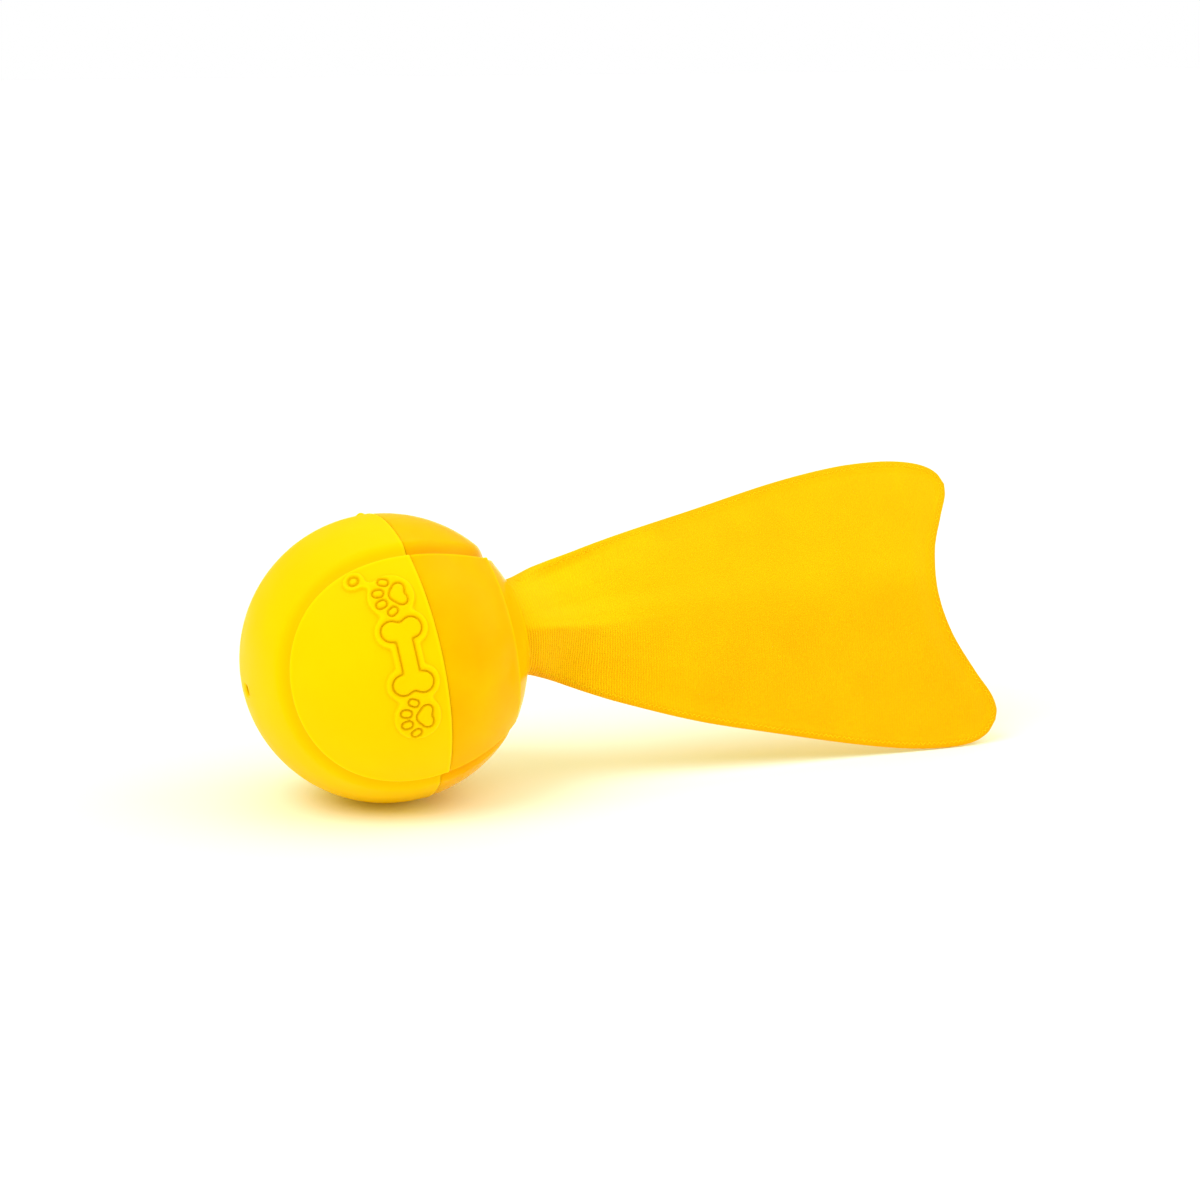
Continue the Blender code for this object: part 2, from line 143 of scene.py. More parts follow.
def node(tree, kind, **settings):
    made = tree.nodes.new(kind)
    for key, value in settings.items():
        if key.startswith("in_"):
            made.inputs[key[3:]].default_value = value
        else:
            setattr(made, key, value)
    return made


def noise(tree, scale, detail=3.0, roughness=0.5, source=None):
    made = node(tree, "ShaderNodeTexNoise", in_Scale=scale, in_Detail=detail, in_Roughness=roughness)
    if source is None:
        source = node(tree, "ShaderNodeTexCoord").outputs["Object"]
    tree.links.new(source, made.inputs["Vector"])
    return made.outputs["Fac"]


def ramp(tree, source, stops):
    """A colour ramp from (place, colour) stops."""
    made = node(tree, "ShaderNodeValToRGB")
    parts = made.color_ramp.elements
    while len(parts) < len(stops):
        parts.new(0.5)
    for part, (at, colour) in zip(parts, stops):
        part.position = at
        part.color = (*colour, 1.0)
    tree.links.new(source, made.inputs["Fac"])
    return made.outputs["Color"]


def span(tree, source, low, high, to_low=0.0, to_high=1.0):
    made = node(tree, "ShaderNodeMapRange")
    for key, value in (("From Min", low), ("From Max", high), ("To Min", to_low), ("To Max", to_high)):
        made.inputs[key].default_value = value
    tree.links.new(source, made.inputs["Value"])
    return made.outputs["Result"]


def calc(tree, kind, a, b):
    """The result of a maths node on sockets or numbers."""
    made = node(tree, "ShaderNodeMath", operation=kind)
    for i, value in enumerate((a, b)):
        if isinstance(value, float):
            made.inputs[i].default_value = value
        else:
            tree.links.new(value, made.inputs[i])
    return made.outputs["Value"]


def bump(tree, shader, height, distance, strength=1.0):
    made = node(tree, "ShaderNodeBump", in_Strength=strength, in_Distance=distance)
    tree.links.new(height, made.inputs["Height"])
    tree.links.new(made.outputs["Normal"], shader.inputs["Normal"])


def toned(tree, source):
    """A tone with the surface's painted shade and painted highlights added."""
    painted_shading = node(tree, "ShaderNodeAttribute", attribute_name="painted_shading").outputs["Fac"]
    return calc(tree, "ADD", source, calc(tree, "MULTIPLY", painted_shading, PAINTED_SHADING_SHARE))


def front_rubber():
    """Opaque satin rubber: a faint mottle, a fine moulded grain and duller patches."""
    mat, tree, shader = material("front_rubber", Roughness=0.42, Specular_IOR_Level=0.05,
                                 Specular_Tint=(1.0, 0.83, 0.12, 1.0))
    tone = toned(tree, span(tree, noise(tree, 55.0, 4.0, 0.55), 0.3, 0.7, 0.42, 0.58))
    tree.links.new(ramp(tree, tone, FRONT_TONES), shader.inputs["Base Color"])
    grain = noise(tree, 2600.0, 2.0, 0.6)
    tree.links.new(span(tree, noise(tree, 130.0, 3.0), 0.3, 0.7, 0.38, 0.52), shader.inputs["Roughness"])
    bump(tree, shader, grain, 0.00006, 0.35)
    return mat


def rear_rubber():
    """Translucent amber rubber with a soft gloss and faint clouds in it: flow marks, and painted shade
    standing in for the shadows of the parts inside.
    """
    mat, tree, shader = material("rear_rubber", Roughness=0.2, IOR=1.45, Transmission_Weight=0.05,
                                 Subsurface_Weight=0.35, Subsurface_Radius=(1.0, 0.55, 0.05),
                                 Subsurface_Scale=0.002, Specular_IOR_Level=0.035,
                                 Specular_Tint=(1.0, 0.72, 0.12, 1.0))
    tone = toned(tree, span(tree, noise(tree, 70.0, 3.0, 0.5), 0.3, 0.7, 0.32, 0.62))
    tree.links.new(ramp(tree, tone, REAR_TONES), shader.inputs["Base Color"])
    tree.links.new(span(tree, noise(tree, 160.0, 2.0), 0.3, 0.7, 0.16, 0.26), shader.inputs["Roughness"])
    bump(tree, shader, noise(tree, 1500.0, 2.0), 0.00003, 0.25)
    return mat


def moulded(name, dark, light, roughness):
    """Moulded plastic: clouded colour, faint sink marks and a fine grain."""
    mat, tree, shader = material(name, Roughness=roughness)
    tree.links.new(ramp(tree, noise(tree, 240.0, 4.0, 0.6), ((0.3, dark), (0.7, light))),
                   shader.inputs["Base Color"])
    tree.links.new(span(tree, noise(tree, 500.0), 0.3, 0.7, roughness - 0.08, roughness + 0.1),
                   shader.inputs["Roughness"])
    bump(tree, shader, noise(tree, 1800.0, 3.0), 0.00005, 0.5)
    return mat


def woven():
    """Ribbed nylon: cross ribs along the tail, yarns over them and a soft, uneven tone."""
    mat, tree, shader = material("tail_cloth", Roughness=0.72, Specular_IOR_Level=0.1,
                                 Specular_Tint=(1.0, 0.75, 0.15, 1.0), Sheen_Weight=0.08,
                                 Sheen_Tint=(1.0, 0.8, 0.2, 1.0))
    lay = node(tree, "ShaderNodeAttribute", attribute_name="lay").outputs["Vector"]
    split = node(tree, "ShaderNodeSeparateXYZ")
    tree.links.new(lay, split.inputs["Vector"])
    along, across, rib_share = (split.outputs[k] for k in ("X", "Y", "Z"))
    wander = span(tree, noise(tree, 0.5, 3.0, 0.5, lay), 0.0, 1.0, -0.3, 0.3)
    rib_place = calc(tree, "ADD", along, wander)
    ribs = calc(tree, "SINE", calc(tree, "MULTIPLY", rib_place, 2 * math.pi / RIB_PITCH), 0.0)
    yarns = calc(tree, "SINE", calc(tree, "MULTIPLY", across, 2 * math.pi / YARN_PITCH), 0.0)
    weave = calc(tree, "MULTIPLY", ribs, yarns)
    shade = calc(tree, "ADD", calc(tree, "MULTIPLY", ribs, 0.7), calc(tree, "MULTIPLY", weave, 0.3))
    shade = calc(tree, "MULTIPLY", shade, rib_share)
    tone = noise(tree, 0.07, 3.0, 0.55, lay)
    fuzz = noise(tree, 3.2, 2.0, 0.6, lay)
    mottled = calc(tree, "ADD", toned(tree, span(tree, tone, 0.3, 0.7, 0.42, 0.58)),
                   span(tree, fuzz, 0.25, 0.75, -0.15, 0.15))
    mixed = calc(tree, "ADD", mottled, calc(tree, "MULTIPLY", shade, 0.45))
    tree.links.new(ramp(tree, mixed, CLOTH_TONES), shader.inputs["Base Color"])
    height = calc(tree, "ADD", calc(tree, "MULTIPLY", shade, 0.9),
                  calc(tree, "ADD", calc(tree, "MULTIPLY", weave, 0.25), fuzz))
    bump(tree, shader, height, 0.00012, 0.7)
    return mat


def twisted():
    """Nylon thread: a tight diagonal twist over a satin yarn."""
    mat, tree, shader = material("thread", Roughness=0.6, Specular_IOR_Level=0.08)
    wave = node(tree, "ShaderNodeTexWave", in_Scale=900.0, in_Distortion=1.5, bands_direction="DIAGONAL")
    tree.links.new(node(tree, "ShaderNodeTexCoord").outputs["Object"], wave.inputs["Vector"])
    tree.links.new(ramp(tree, wave.outputs["Fac"], THREAD_TONES), shader.inputs["Base Color"])
    bump(tree, shader, wave.outputs["Fac"], 0.00008, 0.7)
    return mat


# ---------------------------------------------------------------- meshes
def add_mesh(name, verts, faces, mat):
    """A mesh object in metres from points in mm in the row frame."""
    mesh = bpy.data.meshes.new(name)
    mesh.from_pydata((np.asarray(verts) * MM).tolist(), [], faces)
    mesh.validate()
    mesh.shade_smooth()
    mesh.materials.append(mat)
    obj = bpy.data.objects.new(name, mesh)
    bpy.context.scene.collection.objects.link(obj)
    return obj


def add_painted_shading(obj, values):
    """Give each vertex how much shade (below 0) or light (above 0) is painted on it, for the material."""
    obj.data.attributes.new("painted_shading", "FLOAT", "POINT").data.foreach_set("value", values.astype(np.float32))


# ---------------------------------------------------------------- the ball's relief
SEAM_TURN = math.radians(6.7)
SEAM_WIDE, SEAM_LEAN, SEAM_BOW, SEAM_PINCH = 0.64, 0.07, 0.04, 0.49


def seam_field(n):
    """The function whose zero is the channel's centre line, and its slope on the unit sphere."""
    c, s = math.cos(SEAM_TURN), math.sin(SEAM_TURN)
    x, y, z = n[:, 0] * c + n[:, 1] * s, n[:, 1] * c - n[:, 0] * s, n[:, 2]
    value = x * x - SEAM_WIDE * y * y - SEAM_LEAN * z - SEAM_BOW * z * z + SEAM_PINCH * z**3
    gx, gy, gz = 2 * x, -2 * SEAM_WIDE * y, -SEAM_LEAN - 2 * SEAM_BOW * z + 3 * SEAM_PINCH * z * z
    slope = np.stack((gx * c - gy * s, gx * s + gy * c, gz), 1)
    slope -= n * (slope * n).sum(1, keepdims=True)
    return value, slope


def seam_distance(n):
    value, slope = seam_field(n)
    return RADIUS * value / np.maximum(np.linalg.norm(slope, axis=1), 1e-6)


def softened(points, blur):
    """A table of a profile through the points, rounded by a bell of that width in mm."""
    places, heights = (np.array(v, float) for v in zip(*points))
    x = np.arange(places[0] - 1, places[-1] + 1, 0.01)
    kernel = np.exp(-0.5 * (np.arange(-4 * blur, 4 * blur + 0.005, 0.01) / blur) ** 2)
    y = np.interp(x, places, heights)
    padded = np.pad(y, len(kernel) // 2, mode="edge")
    return x, np.convolve(padded, kernel / kernel.sum(), mode="valid")[: len(x)]


CHANNEL = softened(((-3.0, 0.0), (-2.3, -0.16), (-1.5, -0.48), (-0.7, -0.86), (0.0, -1.08), (0.65, -1.1),
                    (0.93, -0.94), (1.32, 0.08), (1.6, 0.18), (2.4, 0.06), (3.2, 0.03)), 0.1)
COLLAR = softened(((-0.6, -0.34), (-0.13, -0.36), (0.12, 0.16),
                   (0.32, 0.28), (0.6, 0.25), (1.5, 0.08), (2.6, 0.0), (4.0, 0.0)), 0.07)
LIP = softened(((0.0, -0.16), (0.22, 0.03), (0.5, 0.13), (0.9, 0.06), (1.4, 0.0), (2.0, 0.0)), 0.07)


def profile(table, x):
    return np.interp(x, *table)


# The raised plaque on the near cheek, with the engraved outlines of two paws, a bone and a small ring.
PLAQUE_POLAR, PLAQUE_TURN = math.radians(97.0), math.radians(14.5)
PLAQUE_HEIGHT, PLAQUE_EDGE = 0.62, 0.44
GROOVE_DEPTH, GROOVE_HALF = 0.58, 0.4
PLAQUE_MARGIN, PLAQUE_REACH = 1.35, (27, 13)
KNOB_AT, KNOB_RADIUS = (5.8, 2.1), 2.25
SHANK_END, SHANK_RADIUS = 5.5, 1.75
PAW_AT, PAW_FIELD = 13.4, 5.0
PADS = (0.0, -1.2, 1.55), (-1.3, -2.0, 1.25), (1.3, -2.0, 1.25)
TOES = (-3.3, 0.3, 0.8), (-1.25, 2.1, 0.88), (1.25, 2.1, 0.88), (3.3, 0.3, 0.8)
TOE_SPREAD, TOE_LENGTH = 1.1, 0.6
NUB_AT, NUB_RADIUS = (19.6, 6.2), 2.3
NUB_RING, NUB_LINE = 1.05, 0.05


def disc(u, v, at, radius):
    return np.hypot(u - at[0], v - at[1]) - radius


def rod(u, v, a, b, radius):
    a, b = np.array(a, float), np.array(b, float)
    t = np.clip(((u - a[0]) * (b - a)[0] + (v - a[1]) * (b - a)[1]) / ((b - a) @ (b - a)), 0, 1)
    return np.hypot(u - a[0] - t * (b - a)[0], v - a[1] - t * (b - a)[1]) - radius


def merged(parts, soft):
    """A smooth union of distances."""
    total = parts[0]
    for part in parts[1:]:
        h = np.clip(0.5 + 0.5 * (part - total) / soft, 0, 1)
        total = part * (1 - h) + total * h - soft * h * (1 - h)
    return total


def bone(u, v):
    knobs = [disc(u, v, (end * KNOB_AT[0], side * KNOB_AT[1]), KNOB_RADIUS)
             for end in (-1, 1) for side in (-1, 1)]
    return merged([rod(u, v, (-SHANK_END, 0), (SHANK_END, 0), SHANK_RADIUS), *knobs], 0.7)


def paw(u, v, at):
    """A pad and four toes, the toes towards the vent side of the ball."""
    u = u - at
    pad = merged([disc(u, v, (x, y), r) for x, y, r in PADS], 0.9)
    toes = [rod(u, v, (x, y), (TOE_SPREAD * x, y + TOE_LENGTH), r) for x, y, r in TOES]
    return np.minimum.reduce([pad, *toes])


def motif(u, v):
    ring = np.abs(disc(u, v, NUB_AT, NUB_RING)) - NUB_LINE
    return np.minimum.reduce([bone(u, v), paw(u, v, -PAW_AT), paw(u, v, PAW_AT), ring])


def plaque(u, v):
    paws = [disc(u, v, (at, 0), PAW_FIELD) for at in (-PAW_AT, PAW_AT)]
    body = merged([bone(u, v) - PLAQUE_MARGIN, *paws], 1.6)
    return merged([body, disc(u, v, NUB_AT, NUB_RADIUS), rod(u, v, (PAW_AT + 3, 2.6), NUB_AT, 0.75)], 1.0)


def plaque_place(n):
    """Where directions lie on the plaque: along it and across it, in mm, and whether on its cheek."""
    turn = np.arctan2(n[:, 1], n[:, 0])
    polar = np.arccos(np.clip(n[:, 2], -1, 1))
    u = RADIUS * (turn - PLAQUE_TURN)
    v = RADIUS * (polar - PLAQUE_POLAR)
    return u, v, (np.abs(u) < PLAQUE_REACH[0]) & (np.abs(v) < PLAQUE_REACH[1])


def plaque_direction(u, v):
    turn, polar = u / RADIUS + PLAQUE_TURN, v / RADIUS + PLAQUE_POLAR
    return np.stack((np.sin(polar) * np.cos(turn), np.sin(polar) * np.sin(turn), np.cos(polar)), 1)


def plaque_height(u, v):
    raised = PLAQUE_HEIGHT * smoothstep(0.5 - plaque(u, v) / PLAQUE_EDGE)
    line = np.abs(motif(u, v))
    return raised - GROOVE_DEPTH * smoothstep(1.0 - line / GROOVE_HALF)


PIP_TURN, PIP_POLAR = math.radians(103.6), math.radians(87.2)
PIP_RADIUS, PIP_HEIGHT = 1.05, 0.5
VENT_DISH, VENT_DISH_WIDTH = 0.35, 0.7
BAND_STEP, BAND_STEP_WIDTH = 1.5, 0.7
COLLAR_DISH, COLLAR_DISH_FROM = 0.34, math.radians(38.0)
EDGE_RELIEF, EDGE_RELIEF_WIDTH = 0.14, 0.5


def edge_height(turn):
    """Height of the joint line between the shells: it steps forward under the ball's lower band."""
    value, slope = seam_field(np.stack((np.cos(turn) * 0.9937, np.sin(turn) * 0.9937,
                                        np.full_like(turn, 0.112)), 1))
    away = RADIUS * value / np.linalg.norm(slope, axis=1)
    under = smoothstep(0.5 - np.sin(turn) * 4)
    return PARTING - BAND_STEP * under * smoothstep((-away - 0.4) / BAND_STEP_WIDTH)


def landmarks(n, across):
    """Where directions lie: across the channel, turn, polar angle and past the joint line, in mm."""
    d = seam_distance(n)
    if across is not None:
        d = np.where(np.isnan(across), d, across)
    turn = np.arctan2(n[:, 1], n[:, 0])
    polar = np.arccos(np.clip(n[:, 2], -1, 1))
    return d, turn, polar, (RADIUS * n[:, 2] - edge_height(turn)) / np.sin(polar)


def collar_share(d, turn):
    """How crisp the collar's step is: it fades out of the panel and under the ball."""
    return smoothstep((d + 0.6) / 1.2) * smoothstep((np.sin(turn) + 0.85) / 0.4)


def bell(x, width):
    return np.exp(-((x / width) ** 2))


def height(n, front, across=None):
    """How far the surface stands out from the sphere along unit directions."""
    d, turn, polar, edge = landmarks(n, across)
    h = profile(CHANNEL, d)
    if front:
        u, v, on = plaque_place(n)
        h = h + np.where(on, plaque_height(u, v), 0.0)
        h = h + profile(LIP, np.maximum(-edge, 0.0))
        pip = direction(PIP_POLAR, PIP_TURN)
        off = RADIUS * np.arccos(np.clip(n @ pip, -1, 1))
        h = h + PIP_HEIGHT * np.maximum(1 - (off / PIP_RADIUS) ** 2, 0.0)
        h = h - VENT_DISH * smoothstep(1.0 - (RADIUS * (math.pi - polar) - VENT) / VENT_DISH_WIDTH)
    else:
        crisp = collar_share(d, turn)
        h = h + crisp * profile(COLLAR, RADIUS * (polar - COLLAR_POLAR))
        h = h - (1 - crisp) * COLLAR_DISH * smoothstep((COLLAR_DISH_FROM - polar) / 0.2)
        h = h - EDGE_RELIEF * np.exp(-np.maximum(edge, 0.0) / EDGE_RELIEF_WIDTH)
    return h


def painted_shading_at(n, front, across=None):
    """How much shade (below 0) or light (above 0) is painted into the rubber along unit directions: painted
    shade down in the channel, just outside the plaque's edge, in its engraved lines and along the rear
    shell's joint line; painted highlights on the channel's bead, just inside the plaque's edge, on the
    front shell's rim and on the collar's crest, with painted shade at the collar's foot.
    """
    d, turn, polar, edge = landmarks(n, across)
    t = 0.75 * np.minimum(profile(CHANNEL, d), 0.0) + 0.7 * bell(d - 1.6, 0.34)
    if front:
        u, v, on = plaque_place(n)
        rise = plaque(u, v)
        t = t + np.where(on, 0.6 * bell(rise + 0.3, 0.24) - 0.55 * bell(rise - 0.2, 0.2)
                         - 1.1 * smoothstep(1.0 - np.abs(motif(u, v)) / 0.46), 0.0)
        t = t + 0.55 * bell(edge + 0.5, 0.32)
    else:
        collar = RADIUS * (polar - COLLAR_POLAR)
        t = t + collar_share(d, turn) * (0.75 * bell(collar - 0.5, 0.5) - 0.5 * bell(collar + 0.25, 0.2))
        t = t - 0.45 * bell(edge, 0.5)
    return np.clip(t, -1, 1)


def direction(polar, turn):
    return np.array((math.sin(polar) * math.cos(turn), math.sin(polar) * math.sin(turn), math.cos(polar)))


def circle(polar, count, shift=0.0):
    turn = (np.arange(count) + shift) * 2 * math.pi / count
    polar = np.full(count, polar)
    return np.stack((np.sin(polar) * np.cos(turn), np.sin(polar) * np.sin(turn), np.cos(polar)), 1)


def trace_seam(step):
    """Points along the whole channel at even steps, with the direction across it."""
    n = direction(math.pi / 2, math.radians(51.34) + SEAM_TURN)[None]
    points, across = [], []
    for _ in range(4000):
        for _ in range(3):
            value, slope = seam_field(n)
            n = unit(n - slope * (value / (slope**2).sum()))
        value, slope = seam_field(n)
        g = unit(slope)
        if len(points) > 20 and np.linalg.norm(n - points[0]) * RADIUS < step * 0.75:
            break
        points.append(n)
        across.append(g)
        n = unit(n + np.cross(n, g) * step / RADIUS)
    return np.concatenate(points), np.concatenate(across)


def thinned(points, spacing):
    """Flat points kept in order so that no two lie closer than the spacing."""
    kept, cells = [], {}
    keys = np.floor(points / spacing).astype(int)
    around = [(i, j) for i in (-1, 0, 1) for j in (-1, 0, 1)]
    limit = spacing * spacing
    for index, (key, point) in enumerate(zip(map(tuple, keys), points.tolist())):
        near = (q for a in around for q in cells.get(tuple(x + y for x, y in zip(key, a)), ()))
        if all(sum((x - y) ** 2 for x, y in zip(point, q)) >= limit for q in near):
            cells.setdefault(key, []).append(point)
            kept.append(index)
    return points[kept]


def level_points(distance, levels, spacing, box_size):
    """Points along the level lines of a distance on the plaque's flat."""
    grid = np.arange(-box_size[0], box_size[0], 0.1), np.arange(-box_size[1], box_size[1], 0.1)
    u, v = (a.ravel() for a in np.meshgrid(*grid, indexing="ij"))
    start = distance(u, v)
    found = []
    for level in levels:
        near = np.abs(start - level) < 0.09
        a, b = u[near], v[near]
        for _ in range(2):
            off = distance(a, b) - level
            ga = (distance(a + 0.01, b) - distance(a - 0.01, b)) / 0.02
            gb = (distance(a, b + 0.01) - distance(a, b - 0.01)) / 0.02
            size = np.maximum(ga * ga + gb * gb, 0.25)
            a, b = a - off * ga / size, b - off * gb / size
        good = np.abs(distance(a, b) - level) < 0.02
        found.append(thinned(np.stack((a[good], b[good]), 1), spacing))
    return np.concatenate(found)


class Gathered:
    """Directions on one shell, each kept only if it is clear of those before it."""

    def __init__(self):
        self.points, self.across = [], []

    def add(self, n, clear, across=None):
        if across is None:
            across = np.full(len(n), np.nan)
        have = sum(len(p) for p in self.points)
        if have and clear > 0:
            tree = KDTree(have)
            for i, p in enumerate(np.concatenate(self.points)):
                tree.insert(p, i)
            tree.balance()
            keep = np.array([tree.find(p)[2] * RADIUS > clear for p in n], bool)
            n, across = n[keep], across[keep]
        self.points.append(n)
        self.across.append(across)

    def all(self):
        return np.concatenate(self.points), np.concatenate(self.across)


FILL_STEP, FILL_CLEAR = 0.8, 0.42
INSIDE_RIM = 1
SEAM_STEP = 0.3
REAR_SET_BACK = 0.07
SEAM_LEVELS = (-3.0, -2.7, -2.35, -1.95, -1.6, -1.25, -0.9, -0.6, -0.3, 0.0, 0.3, 0.55, 0.75, 0.9,
               1.03, 1.16, 1.29, 1.42, 1.56, 1.75, 2.05, 2.5, 3.1)
COLLAR_LEVELS = (-1.1, -0.7, -0.4, -0.26, -0.16, -0.08, 0.0, 0.08, 0.16, 0.26, 0.4, 0.7, 1.1, 1.7, 2.4)
EDGE_INSETS = (0.1, 0.22, 0.36, 0.52, 0.7, 0.95, 1.3, 1.7)
PIP_RINGS = (0.0, 0.2, 0.4, 0.6, 0.8, 0.95, 1.05, 1.2)
VENT_RINGS = (0.12, 0.25, 0.4, 0.6, 0.85)
MOTIF_LEVELS, MOTIF_BOX = (-0.4, -0.3, -0.17, 0.0, 0.17, 0.3, 0.4), (26, 9)
PLAQUE_LEVELS, PLAQUE_BOX = (-0.42, -0.3, -0.18, -0.06, 0.06, 0.18, 0.3, 0.42), (26, 11)
SEAM, SEAM_ACROSS = trace_seam(SEAM_STEP)
RIM_COUNT = 360
HOLE_COUNT = {True: 60, False: 240}
HOLE_POLAR = {True: math.pi - math.asin((VENT + 0.15) / RADIUS), False: math.asin(13.6 / RADIUS)}


def edge_ring(front):
    """The shell's outer edge at the joint line, as unit directions."""
    turn = np.arange(RIM_COUNT) * 2 * math.pi / RIM_COUNT
    z = (edge_height(turn) + (0.0 if front else REAR_SET_BACK)) / RADIUS
    flat = np.sqrt(1 - z * z)
    return np.stack((flat * np.cos(turn), flat * np.sin(turn), z), 1)


def inside_shell(n, front, margin):
    """Which directions lie on the shell, clear of its edge and its hole."""
    turn = np.arctan2(n[:, 1], n[:, 0])
    away = RADIUS * n[:, 2] - edge_height(turn) - (0.0 if front else REAR_SET_BACK)
    polar = np.arccos(np.clip(n[:, 2], -1, 1))
    if front:
        return (away < -margin) & (RADIUS * (HOLE_POLAR[True] - polar) > margin)
    return (away > margin) & (RADIUS * (polar - HOLE_POLAR[False]) > margin)


def shell_skin(front):
    """Outer skin of a shell: points in mm in the row frame, triangles, edge ring and hole ring."""
    made = Gathered()
    made.add(edge_ring(front), 0)
    made.add(circle(HOLE_POLAR[front], HOLE_COUNT[front]), 0)
    for level in SEAM_LEVELS:
        angle = level / RADIUS
        n = SEAM * math.cos(angle) + SEAM_ACROSS * math.sin(angle)
        keep = inside_shell(n, front, 0.12)
        made.add(n[keep], 0.09, np.full(keep.sum(), level))
    turn = np.arange(RIM_COUNT) * 2 * math.pi / RIM_COUNT
    for inset in EDGE_INSETS:
        z = (edge_height(turn) + (-inset if front else inset + REAR_SET_BACK)) / RADIUS
        flat = np.sqrt(1 - z * z)
        ring = np.stack((flat * np.cos(turn), flat * np.sin(turn), z), 1)
        made.add(ring[inside_shell(ring, front, 0.05)], 0.16)
    if front:
        pip = direction(PIP_POLAR, PIP_TURN)
        east = unit(np.cross(pip, (0.0, 0.0, 1.0)))
        for radius in PIP_RINGS:
            count = max(1, round(radius * 2 * math.pi / 0.22))
            a = np.arange(count) * 2 * math.pi / count
            offset = np.outer(np.cos(a), east) + np.outer(np.sin(a), np.cross(pip, east))
            n = unit(pip + offset * radius / RADIUS)
            made.add(n[inside_shell(n, front, 0.1)], 0.12)
        lines = level_points(motif, MOTIF_LEVELS, 0.2, MOTIF_BOX)
        made.add(plaque_direction(*lines.T), 0.1)
        lines = level_points(plaque, PLAQUE_LEVELS, 0.22, PLAQUE_BOX)
        made.add(plaque_direction(*lines.T), 0.12)
        grid = np.meshgrid(np.arange(-22, 24, 0.45), np.arange(-8, 10, 0.45), indexing="ij")
        u, v = (a.ravel() for a in grid)
        near = plaque(u, v) < 1.5
        n = plaque_direction(u[near], v[near])
        made.add(n[inside_shell(n, front, 0.3)], 0.26)
        for gap in VENT_RINGS:
            made.add(circle(HOLE_POLAR[True] - gap / RADIUS, 60), 0.08)
    else:
        for level in COLLAR_LEVELS:
            polar = COLLAR_POLAR + level / RADIUS
            n = circle(polar, round(2 * math.pi * RADIUS * math.sin(polar) / 0.3))
            made.add(n[seam_distance(n) > -1.0], 0.07)
    fill = []
    for k in range(1, round(math.pi * RADIUS / FILL_STEP)):
        polar = k * FILL_STEP / RADIUS
        count = max(6, round(2 * math.pi * RADIUS * math.sin(polar) / FILL_STEP))
        n = circle(polar, count, 0.5 * (k % 2))
        if k % 8 == 0:
            made.add(n[inside_shell(n, front, 0.4)], FILL_CLEAR)
        else:
            fill.append(n)
    n = np.concatenate(fill)
    made.add(n[inside_shell(n, front, 0.4)], FILL_CLEAR)
    n, across = made.all()
    pole = -1.0 if front else 1.0
    flat = n[:, :2] * (2.0 / (1.0 + pole * n[:, 2]))[:, None] * 1000.0
    rim = [(i, (i + 1) % RIM_COUNT) for i in range(RIM_COUNT)]
    out = delaunay_2d_cdt([Vector(p) for p in flat], rim, [], INSIDE_RIM, 1e-6)
    source = [ids[0] for ids in out[3]]
    hole = range(RIM_COUNT, RIM_COUNT + HOLE_COUNT[front])
    faces = [tuple(source[i] for i in f) for f in out[2]]
    faces = [f for f in faces if not all(i in hole for i in f)]
    points = n * (RADIUS + height(n, front, across))[:, None]
    return points, faces, np.arange(RIM_COUNT), np.array(hole), painted_shading_at(n, front, across)


def bridge(a, b):
    """Faces between two rings whose counts are equal, or the first a multiple of the second."""
    ratio = len(a) // len(b)
    faces = []
    for j in range(len(b)):
        for k in range(ratio):
            i = j * ratio + k
            faces.append((a[i], a[(i + 1) % len(a)], b[j]))
        faces.append((a[(j + 1) * ratio % len(a)], b[(j + 1) % len(b)], b[j]))
    return faces


def ring_at(radius, level, count):
    turn = np.arange(count) * 2 * math.pi / count
    level = np.broadcast_to(level, count)
    radius = np.broadcast_to(radius, count)
    return np.stack((radius * np.cos(turn), radius * np.sin(turn), level), 1)


def on_sphere(radius, low, high, steps):
    """(radius, height) pairs along a sphere between two heights."""
    a = np.linspace(math.asin(low / radius), math.asin(high / radius), steps)
    return [(radius * math.cos(t), radius * math.sin(t)) for t in a]


def round_height(radius, sphere):
    return math.sqrt(sphere * sphere - radius * radius)


LAP_RISE = 1.2
# The rolled rim of the mouth, as (radius, height) from the collar inwards.
LIP_ROLL = ((13.3, 28.53), (13.0, 28.72), (12.7, 28.94), (12.4, 29.14), (12.1, 29.3), (11.8, 29.39),
            (11.5, 29.38), (11.25, 29.26), (11.08, 29.04), (11.0, 28.7))


